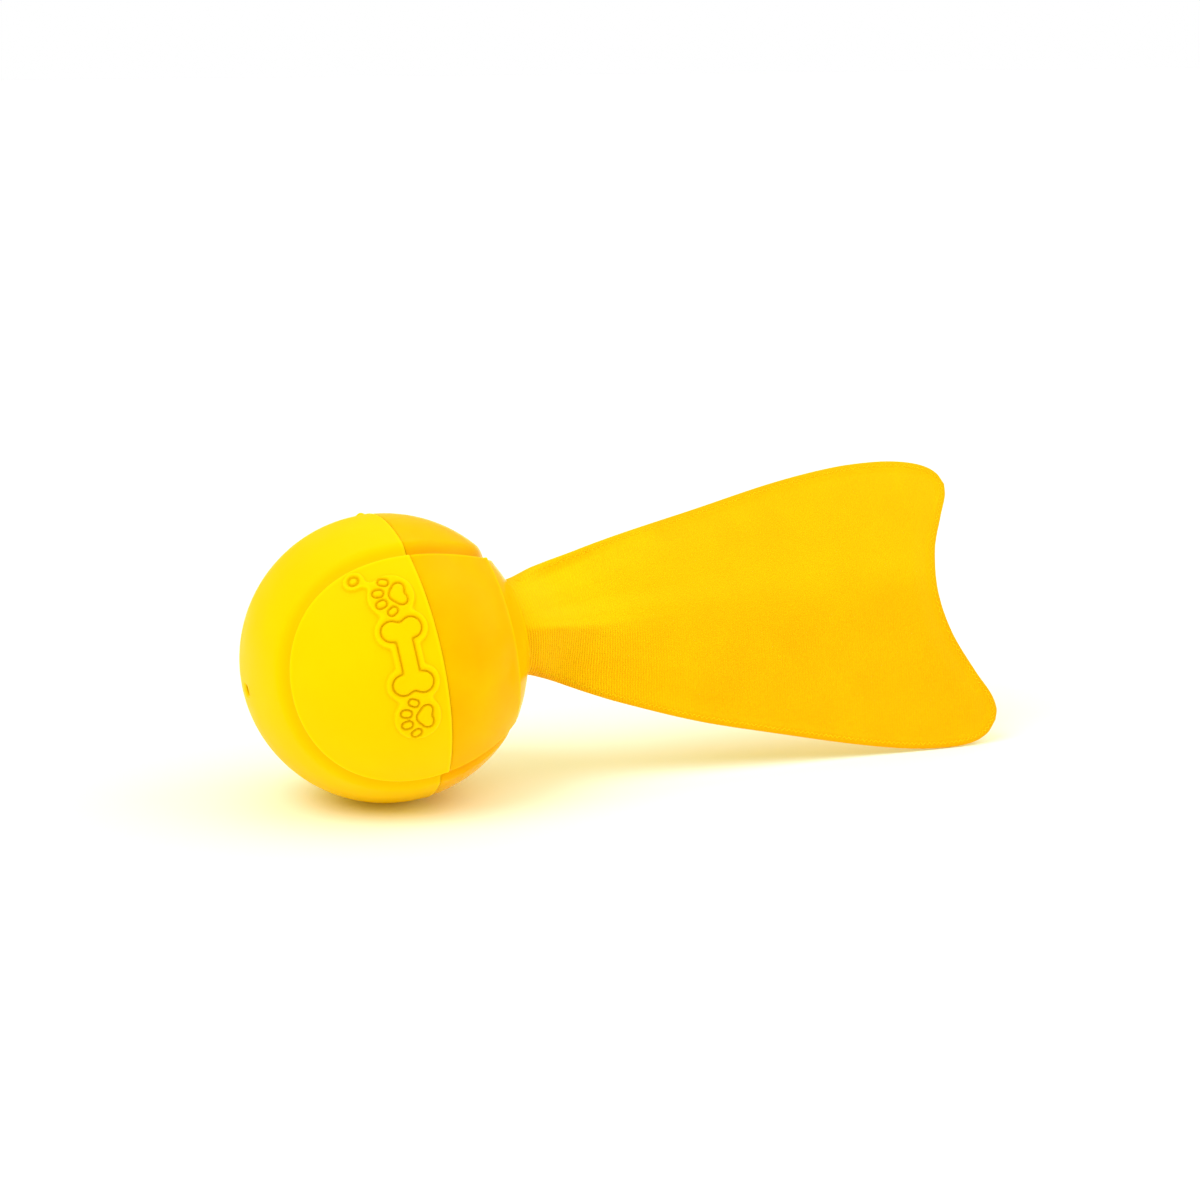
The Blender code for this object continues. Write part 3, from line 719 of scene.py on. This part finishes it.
def build_shell(front, mat, name):
    points, faces, edge, hole, painted_shading = shell_skin(front)
    turn = np.arange(RIM_COUNT) * 2 * math.pi / RIM_COUNT
    edge_z = edge_height(turn)
    blocks, total = [points], len(points)

    def add(ring):
        nonlocal total
        blocks.append(ring)
        total += len(ring)
        return np.arange(total - len(ring), total)

    def chain(rings, start):
        for ring in rings:
            made = add(ring)
            faces.extend(bridge(start, made))
            start = made
        return start

    if front:
        lap_z = edge_z - 0.05
        rows = [ring_at(np.sqrt(LAP_INNER**2 - lap_z**2), lap_z, RIM_COUNT)]
        rows += [ring_at(r, h, RIM_COUNT)
                 for r, h in on_sphere(LAP_INNER, LAP_FOOT, LAP_FOOT + LAP_RISE, 2)[::-1]]
        rows += [ring_at(r, h, RIM_COUNT)
                 for r, h in on_sphere(INNER, -round_height(SOCKET, INNER), LAP_FOOT, 16)[::-1]]
        floor = -round_height(SOCKET, INNER) - 0.6
        rows += [ring_at(SOCKET, floor, RIM_COUNT)]
        last = chain(rows, edge)
        top, sides = VENT_DISH - round_height(VENT, RADIUS), HOLE_COUNT[True]
        bore = chain([ring_at(VENT, top, sides), ring_at(VENT, floor, sides)], hole)
        faces.extend(bridge(last, bore))
    else:
        tongue = LAP_INNER - GAP
        lap_z = edge_z + 0.12
        rows = [ring_at(np.sqrt(tongue**2 - lap_z**2), lap_z, RIM_COUNT)]
        rows += [ring_at(r, h, RIM_COUNT)
                 for r, h in on_sphere(tongue, LAP_FOOT + GAP, LAP_FOOT + GAP + LAP_RISE, 2)[::-1]]
        rows += [ring_at(r, h, RIM_COUNT)
                 for r, h in on_sphere(INNER, LAP_FOOT + GAP, round_height(NECK_OUTER, INNER), 16)]
        neck_end = LIP_HEIGHT - NECK_DEPTH
        rows += [ring_at(NECK_OUTER - 0.3, neck_end + 0.05, RIM_COUNT)]
        last = chain(rows, edge)
        bore = chain([ring_at(r, h, HOLE_COUNT[False]) for r, h in LIP_ROLL], hole)
        bore = chain([ring_at(MOUTH, neck_end, HOLE_COUNT[False])], bore)
        bore = chain([ring_at(MOUTH + 0.4, neck_end - 0.1, HOLE_COUNT[False] // 2)], bore)
        faces.extend(bridge(last, bore))
    points = np.concatenate(blocks) @ BALL + CENTRE
    obj = add_mesh(name, points, faces, mat)
    # Only the outer skin carries painted shade and highlights.
    add_painted_shading(obj, np.concatenate((painted_shading, np.zeros(total - len(painted_shading)))))
    bm = bmesh.new()
    bm.from_mesh(obj.data)
    bmesh.ops.recalc_face_normals(bm, faces=bm.faces)
    if bm.calc_volume(signed=True) < 0:
        bmesh.ops.reverse_faces(bm, faces=bm.faces)
    bm.to_mesh(obj.data)
    bm.free()
    obj.data.shade_smooth()
    obj.data.set_sharp_from_angle(angle=math.radians(50))
    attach(obj, "ball")
    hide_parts(name.replace("_skin", "_shell"))


# ---------------------------------------------------------------- the tail
def curve(points, count=1500):
    """Even samples along a smooth curve through the points, by chord length."""
    p = np.array(points, float)
    along = np.concatenate(([0.0], np.cumsum(np.linalg.norm(np.diff(p, axis=0), axis=1))))
    low = np.maximum(np.arange(len(p)) - 1, 0)
    high = np.minimum(np.arange(len(p)) + 1, len(p) - 1)
    slope = (p[high] - p[low]) / (along[high] - along[low])[:, None]
    want = np.linspace(0, along[-1], count)
    i = np.clip(np.searchsorted(along, want, side="right") - 1, 0, len(p) - 2)
    gap = (along[i + 1] - along[i])[:, None]
    u = (want - along[i])[:, None] / gap
    return ((2 * u**3 - 3 * u**2 + 1) * p[i] + (u**3 - 2 * u**2 + u) * gap * slope[i]
            + (3 * u**2 - 2 * u**3) * p[i + 1] + (u**3 - u**2) * gap * slope[i + 1])


UPPER, LOWER, TRAILING, THICK = (curve(c) for c in (UPPER_EDGE, LOWER_EDGE, TRAILING_EDGE, THICKNESS))
OUTLINE = np.concatenate((LOWER, TRAILING, UPPER[::-1]))
STREAKS = ((-0.42, 0.035, 0.25), (-0.31, 0.035, -0.25), (-0.2, 0.03, 0.16),
           (0.06, 0.03, 0.16), (0.14, 0.035, -0.22), (0.27, 0.05, 0.26), (0.42, 0.045, -0.3))


def edge_distance(p):
    """Distance in the flat from each point to the cloth's outline."""
    line = OUTLINE[::2]
    out = np.empty(len(p))
    for k in range(0, len(p), 4000):
        part = p[k:k + 4000]
        out[k:k + 4000] = np.sqrt(((part[:, None] - line[None]) ** 2).sum(2).min(1))
    return out


def above_ridge(s, w):
    """How far flat points lie above the ridge that runs out from the mouth."""
    return w + RIDGE_DROP - RIDGE_SLOPE * np.maximum(s - RIDGE_FROM, 0)


def middle(s, w):
    """The cloth's middle surface: it falls back above a ridge that softens away from the mouth."""
    softness = 1.2 + 4.6 * smoothstep(s / 38)
    slope = math.tan(math.radians(17.5)) * smoothstep(s / 45)
    above = above_ridge(s, w)
    fall = -slope * (np.hypot(above, softness) + above - softness) / 2
    apex = w / (s + 18.0)
    near = smoothstep(s / 9) * (1 - smoothstep((s - 30) / 55))
    streaks = sum(a * np.exp(-(((apex - m) / width) ** 2)) for m, width, a in STREAKS)
    rim = 0.95 * np.exp(-(((np.interp(s, *UPPER.T) - w) / 1.8) ** 2))
    rim = rim * smoothstep(s / 4) * (1 - smoothstep((s - 8) / 30))
    sway = 0.5 * np.sin(s / 17.0 + w / 24.0) * smoothstep((s - 20) / 50)
    return fall + near * streaks + rim + sway


CREASE = -0.12


def half_thickness(s, w, e):
    """Half the height of the two layers and their hem at a point e from the outline."""
    upper, lower = np.interp(s, *UPPER.T), np.interp(s, *LOWER.T)
    a = np.clip((2 * w - upper - lower) / (upper - lower), -1, 1)
    flat = smoothstep((s - 16) / 18)
    bulge = np.sqrt(np.maximum(1 - a * a, 0)) ** (1 + flat)
    fall = np.where(a > CREASE, (a - CREASE) / (1 - CREASE), (CREASE - a) / (1 + CREASE))
    crease = np.maximum(1.04 - np.sqrt(fall**2 + 0.0016), 0) ** 1.2
    sharp = (0.18 * smoothstep((s + 3) / 3) + 0.74 * smoothstep(s / 10)) * (1 - smoothstep((s - 14) / 30))
    body = np.interp(s, *THICK.T) * (bulge * (1 - sharp) + np.minimum(bulge, crease) * sharp)
    body = body * np.where(s > 84, smoothstep(e / 7), 1.0)
    edge = np.sqrt(np.clip(1 - (1 - np.clip(e / 0.8, 0, 1)) ** 2, 0, 1))
    hem = HEM * edge * (1 - smoothstep((e - 1.7) / 1.1)) - 0.07 * np.exp(-(((e - STITCH_INSET) / 0.3) ** 2))
    return np.maximum(body + CLOTH * edge + hem * (1 - 0.3 * smoothstep((20 - s) / 20)), 0.02)


AXIS_IN_TAIL = TAIL @ AXIS


def place(s, w, out):
    """Row-frame points in mm from flat cloth points and their height towards the near side."""
    centre = (np.interp(s, *UPPER.T) + np.interp(s, *LOWER.T)) / 2
    tilt = (AXIS_RISE + TAIL_DROP) * (1 - smoothstep(s / BEND_LENGTH))
    off = w - centre
    deep = np.minimum(s, 0.0)
    root = deep[..., None] * (AXIS_IN_TAIL - np.array((1.0, 0.0, 0.0)))
    local = np.stack((s - off * np.sin(tilt), centre + off * np.cos(tilt), out), -1) + root
    return local @ TAIL + MOUTH_CENTRE


COLUMNS = 112
ROOT_FROM, ROOT_TO, MID_TO, STRAIGHT_TO = -7.0, 12.5, 40.0, 84.0


def cloth_grid():
    """Flat (s, w) points of the whole cloth, row by row from inside the mouth to the trailing edge."""
    share = (1 - np.cos(np.pi * np.arange(COLUMNS + 1) / COLUMNS)) / 2
    share = 0.55 * share + 0.45 * np.linspace(0, 1, COLUMNS + 1)
    cuts = (ROOT_FROM, ROOT_TO, MID_TO, STRAIGHT_TO)
    lengths = np.concatenate([np.linspace(a, b, round((b - a) / 0.62), endpoint=False)
                              for a, b in zip(cuts, cuts[1:])] + [[STRAIGHT_TO]])
    low = np.stack((lengths, np.interp(lengths, *LOWER.T)), 1)
    high = np.stack((lengths, np.interp(lengths, *UPPER.T)), 1)
    steps = 60
    v = np.arange(1, steps + 1) / steps
    v = 1 - (1 - v) ** 1.35

    def rest(line):
        start = np.interp(STRAIGHT_TO, line[:, 0], np.linspace(0, 1, len(line)))
        at = start + (1 - start) * v
        t = np.linspace(0, 1, len(line))
        return np.stack((np.interp(at, t, line[:, 0]), np.interp(at, t, line[:, 1])), 1)

    low, high = np.concatenate((low, rest(LOWER))), np.concatenate((high, rest(UPPER)))
    bend = np.concatenate((np.zeros(len(lengths)), v**1.5))
    t = np.linspace(0, 1, len(TRAILING))
    end = np.stack((np.interp(share, t, TRAILING[:, 0]), np.interp(share, t, TRAILING[:, 1])), 1)
    flat_end = TRAILING[0] + (TRAILING[-1] - TRAILING[0]) * share[:, None]
    grid = low[:, None] * (1 - share[None, :, None]) + high[:, None] * share[None, :, None]
    return grid + (end - flat_end)[None] * bend[:, None, None], lengths


def grid_normals(p):
    along, across = np.gradient(p, axis=0), np.gradient(p, axis=1)
    return unit(np.cross(along, across))


GRID, LENGTHS = cloth_grid()
EDGE_OF_GRID = edge_distance(GRID.reshape(-1, 2)).reshape(GRID.shape[:2])
EDGE_OF_GRID[:, 0] = EDGE_OF_GRID[:, -1] = EDGE_OF_GRID[-1] = 0.0
CUT = [int(np.argmin(np.abs(LENGTHS - c))) for c in (ROOT_TO, MID_TO)]
ROWS = {"root": slice(0, CUT[0] + 1), "mid": slice(CUT[0], CUT[1] + 1), "fin": slice(CUT[1], None)}
BENDS = {"root": ("ball", "tail_neck", 0.5, 12.5), "mid": ("tail_neck", "tail_inner", 12.8, 25.7),
         "fin": ("tail_inner", "tail_outer", 55.3, 64.7)}
STANDS_FOR = {("root", 1): ("tail_root_sleeve", "tail_throat", "tail_neck_sleeve"),
              ("mid", 1): ("tail_gusset", "tail_panel_near"),
              ("mid", -1): ("tail_panel_far",), ("fin", 1): ("tail_fold", "tail_fin_near"),
              ("fin", -1): ("tail_fin_far",)}


def flat_area(rows):
    """Flat area of a stretch of the cut, without its hem."""
    g = GRID[rows]
    a, b, c, d = g[:-1, :-1], g[1:, :-1], g[1:, 1:], g[:-1, 1:]

    def cross(p, q):
        return p[..., 0] * q[..., 1] - p[..., 1] * q[..., 0]

    return float(0.5 * np.abs(cross(c - a, d - b)).sum())


def quads(ids, flip):
    """The four-sided faces of a grid of vertex numbers."""
    q = np.stack((ids[:-1, :-1], ids[1:, :-1], ids[1:, 1:], ids[:-1, 1:]), -1).reshape(-1, 4)
    return [tuple(f) for f in (q[:, ::-1] if flip else q).tolist()]


def build_cloth(side, mat):
    s, w = GRID[..., 0], GRID[..., 1]
    mid = middle(s, w)
    half = half_thickness(s, w, EDGE_OF_GRID)
    outer = place(s, w, mid + side * half)
    normal = grid_normals(outer) * side
    inner = outer - normal * CLOTH
    local = (inner - MOUTH_CENTRE) @ TAIL.T
    floor = mid + side * 0.03
    local[..., 2] = np.where(side * (local[..., 2] - floor) < 0, floor, local[..., 2])
    inner = local @ TAIL + MOUTH_CENTRE
    rib_share = (1 - 0.85 * smoothstep((s - 10) / 34)) * (0.2 + 0.8 * smoothstep((1 - w) / 4))
    fold = above_ridge(s, w)
    # Painted light on the facet above the ridge near the mouth, painted shade on and below the ridge from
    # 25 mm out; the cloth is also darker along its outline.
    lit = 0.5 * smoothstep(fold / 1.5) * (1 - smoothstep((s - 10) / 40))
    painted_lower_shade = 0.26 * smoothstep((s - 25) / 30) * smoothstep((6 - fold) / 10)
    painted_shading = lit - painted_lower_shade - 0.35 * bell(EDGE_OF_GRID, 1.3)
    made = []
    for part, rows in ROWS.items():
        o, i = outer[rows], inner[rows]
        r, c = o.shape[:2]
        ids = np.arange(r * c).reshape(r, c)
        back = ids + r * c
        faces = quads(ids, side < 0) + quads(back, side > 0)
        loop = np.concatenate((ids[0, :-1], ids[:-1, -1], ids[-1, :0:-1], ids[:0:-1, 0]))
        rim = np.stack((loop, np.roll(loop, -1)), 0)
        faces.extend((int(a), int(b), int(b + r * c), int(a + r * c)) if side > 0 else
                     (int(b), int(a), int(a + r * c), int(b + r * c)) for a, b in rim.T)
        which = "near" if side > 0 else "far"
        obj = add_mesh(f"tail_cloth_{which}_{part}", np.concatenate((o.reshape(-1, 3), i.reshape(-1, 3))),
                       faces, mat)
        n = normal[rows].reshape(-1, 3)
        obj.data.normals_split_custom_set_from_vertices(np.concatenate((n, -n)).tolist())
        lay = obj.data.attributes.new("lay", "FLOAT_VECTOR", "POINT")
        values = np.stack((s[rows].ravel(), w[rows].ravel(), rib_share[rows].ravel()), 1)
        lay.data.foreach_set("vector", np.concatenate((values, values)).astype(np.float32).ravel())
        add_painted_shading(obj, np.tile(painted_shading[rows].ravel(), 2))
        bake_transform(obj)
        if (part, side) in STANDS_FOR:
            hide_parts(*STANDS_FOR[part, side])
        made.append(obj)
    return made


def stitch_route():
    """A zigzag a little inside the outline, as flat points."""
    keep = OUTLINE[OUTLINE[:, 0] > 1.0]
    length = np.concatenate(([0.0], np.cumsum(np.linalg.norm(np.diff(keep, axis=0), axis=1))))
    at = np.arange(0, length[-1], STITCH_PITCH / 4)
    line = np.stack((np.interp(at, length, keep[:, 0]), np.interp(at, length, keep[:, 1])), 1)
    smooth = np.stack([np.convolve(np.pad(line[:, k], 6, mode="edge"), np.ones(13) / 13, "valid")
                       for k in (0, 1)], 1)
    tangent = np.gradient(smooth, axis=0)
    inward = unit(np.stack((-tangent[:, 1], tangent[:, 0]), 1))
    wave = np.abs(((at / STITCH_PITCH) % 1.0) * 2 - 1) * 2 - 1
    return line + inward * (STITCH_INSET + STITCH_SWING * wave)[:, None]


def build_stitches(side, mat):
    route = stitch_route()
    e = edge_distance(route)
    s, w = route.T
    sides = THREAD_SIDES
    lift = half_thickness(s, w, e) + THREAD_LIFT
    centre = place(s, w, middle(s, w) + side * lift)
    tangent = unit(np.gradient(centre, axis=0))
    across = unit(np.cross(tangent, TAIL[2]))
    other = np.cross(tangent, across)
    angle = np.arange(sides) * 2 * math.pi / sides
    spokes = np.cos(angle)[None, :, None] * across[:, None] + np.sin(angle)[None, :, None] * other[:, None]
    rings = centre[:, None] + THREAD_RADIUS * spokes
    limits = {"root": (-9, ROOT_TO), "mid": (ROOT_TO, MID_TO), "fin": (MID_TO, 200)}
    made = []
    for part, (low, high) in limits.items():
        chosen = (s >= low) & (s < high)
        verts, faces = [], []
        runs = np.split(np.flatnonzero(chosen), np.flatnonzero(np.diff(np.flatnonzero(chosen)) > 1) + 1)
        for run in runs:
            if len(run) < 3:
                continue
            if run[-1] + 1 < len(s):
                run = np.append(run, run[-1] + 1)
            base = len(verts) * sides
            verts.extend(rings[run])
            for k in range(len(run) - 1):
                for j in range(sides):
                    a, b = base + k * sides + j, base + k * sides + (j + 1) % sides
                    faces.append((a, b, b + sides, a + sides))
            faces.append(tuple(range(base + sides - 1, base - 1, -1)))
            end = base + (len(run) - 1) * sides
            faces.append(tuple(range(end, end + sides)))
        which = "near" if side > 0 else "far"
        obj = add_mesh(f"stitching_{which}_{part}", np.concatenate(verts), faces, mat)
        a, b, start, end = BENDS[part]
        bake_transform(obj)
        made.append(obj)
    return made


def declare_sheet(part):
    """Work out how large a stretch of cloth was cut, only its width counting the hems; the sizes are not
    kept.
    """
    g = GRID[ROWS[part]]
    width, length = np.ptp(g[..., 1]) + 2 * HEM_TURN, np.ptp(g[..., 0])
    area = min(flat_area(ROWS[part]), width * length)
    if part == "root":
        width = math.pi * SLEEVE_RADIUS
        area = width * length


# ---------------------------------------------------------------- the pieces inside
INSIDE_LOOKS = {
    "squeaker_barrel": ("barrel_plastic", (0.86, 0.68, 0.2), (0.95, 0.78, 0.3), 0.42),
    "squeaker_cap": ("cap_plastic", (0.58, 0.48, 0.3), (0.72, 0.62, 0.42), 0.5),
    "squeaker_reed": ("reed_film", (0.78, 0.74, 0.62), (0.88, 0.85, 0.74), 0.25),
    "tail_plug": ("plug_plastic", (0.55, 0.3, 0.02), (0.7, 0.4, 0.04), 0.45),
    "tail_lock_ring": ("ring_plastic", (0.5, 0.28, 0.02), (0.64, 0.36, 0.04), 0.5),
}


def dress(name, mat):
    """Give a CAD node its finished material."""
    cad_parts[name].data.materials.clear()
    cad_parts[name].data.materials.append(mat)


# ---------------------------------------------------------------- build
cloth_look, thread_look = woven(), twisted()
build_shell(True, front_rubber(), "front_skin")
build_shell(False, rear_rubber(), "rear_skin")

near_cloth = build_cloth(1, cloth_look)
far_cloth = build_cloth(-1, cloth_look)
near_stitches = build_stitches(1, thread_look)
far_stitches = build_stitches(-1, thread_look)
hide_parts("seam_thread_panel_upper", "seam_thread_panel_lower")
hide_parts("seam_thread_fin_upper", "seam_thread_fin_lower")
for cloths, threads in ((near_cloth, near_stitches), (far_cloth, far_stitches)):
    for part, cloth, trim in zip(ROWS, cloths, threads):
        declare_sheet(part)

for name, look in INSIDE_LOOKS.items():
    dress(name, moulded(*look))
dress("root_tie", thread_look)

# ---------------------------------------------------------------- studio
scene = bpy.context.scene
scene.view_settings.view_transform = "Standard"
# A yellowish sky under bluish suns leaves the open floor white and turns the shadows yellow. A faint
# amber glow from the floor keeps the darkest shadow brown.
SUN_TINT = (0.95, 0.97, 1.35)
SKY_TINT = (0.59, 0.69, 0.27)
BACKDROP = (1.0, 1.0, 1.0)
FLOOR_GLOW, FLOOR_GLOW_STRENGTH = (1.0, 0.6, 0.0, 1.0), 0.09
FLOOR_HALF = 6000.0
CAMERA_AT = (-0.2461, -0.5772, 0.1719)
CAMERA_HEADING, CAMERA_PITCH = math.radians(22.45), math.radians(11.87)


def build_floor():
    mat, tree, shader = material("floor", Roughness=0.75, Specular_IOR_Level=0.1,
                                 Emission_Color=FLOOR_GLOW, Emission_Strength=FLOOR_GLOW_STRENGTH)
    tree.links.new(ramp(tree, noise(tree, 3.0, 2.0), FLOOR_TONES), shader.inputs["Base Color"])
    corners = [(x * FLOOR_HALF, y * FLOOR_HALF, 0) for x, y in ((-1, -1), (1, -1), (1, 1), (-1, 1))]
    add_mesh("floor", corners, [(0, 1, 2, 3)], mat)


def soft_sun(name, towards, spread, share):
    """A broad, even light; share is what it adds to a white surface that faces it."""
    data = bpy.data.lights.new(name, "SUN")
    data.angle = math.radians(spread)
    data.energy = share * math.pi
    data.color = SUN_TINT
    obj = bpy.data.objects.new(name, data)
    obj.rotation_mode = "QUATERNION"
    obj.rotation_quaternion = Vector(towards).to_track_quat("Z", "Y")
    scene.collection.objects.link(obj)


def build_world():
    """A white backdrop that lights the object with its own tint."""
    world = bpy.data.worlds.new("studio")
    world.use_nodes = True
    tree = world.node_tree
    sky = node(tree, "ShaderNodeMixShader")
    tree.links.new(node(tree, "ShaderNodeLightPath").outputs["Is Camera Ray"], sky.inputs[0])
    for slot, tint in ((1, SKY_TINT), (2, BACKDROP)):
        background = node(tree, "ShaderNodeBackground", in_Color=(*tint, 1.0))
        tree.links.new(background.outputs[0], sky.inputs[slot])
    tree.links.new(sky.outputs[0], tree.nodes["World Output"].inputs["Surface"])
    scene.world = world


def build_camera():
    camera = bpy.data.objects.new("camera", bpy.data.cameras.new("camera"))
    camera.data.lens = 85.0
    camera.data.sensor_width = 36.0
    camera.data.clip_start = 0.01
    camera.data.clip_end = 50.0
    level = math.cos(CAMERA_PITCH)
    look = Vector((math.sin(CAMERA_HEADING) * level, math.cos(CAMERA_HEADING) * level,
                   -math.sin(CAMERA_PITCH)))
    camera.location = CAMERA_AT
    camera.rotation_mode = "QUATERNION"
    camera.rotation_quaternion = look.to_track_quat("-Z", "Y")
    scene.collection.objects.link(camera)
    scene.camera = camera


build_floor()
build_world()
soft_sun("key", (-0.6, -0.25, 0.76), 40.0, 0.33)
soft_sun("overhead", (0.05, -0.1, 1.0), 90.0, 0.36)
soft_sun("fill", (0.75, -0.3, 0.55), 60.0, 0.19)
build_camera()
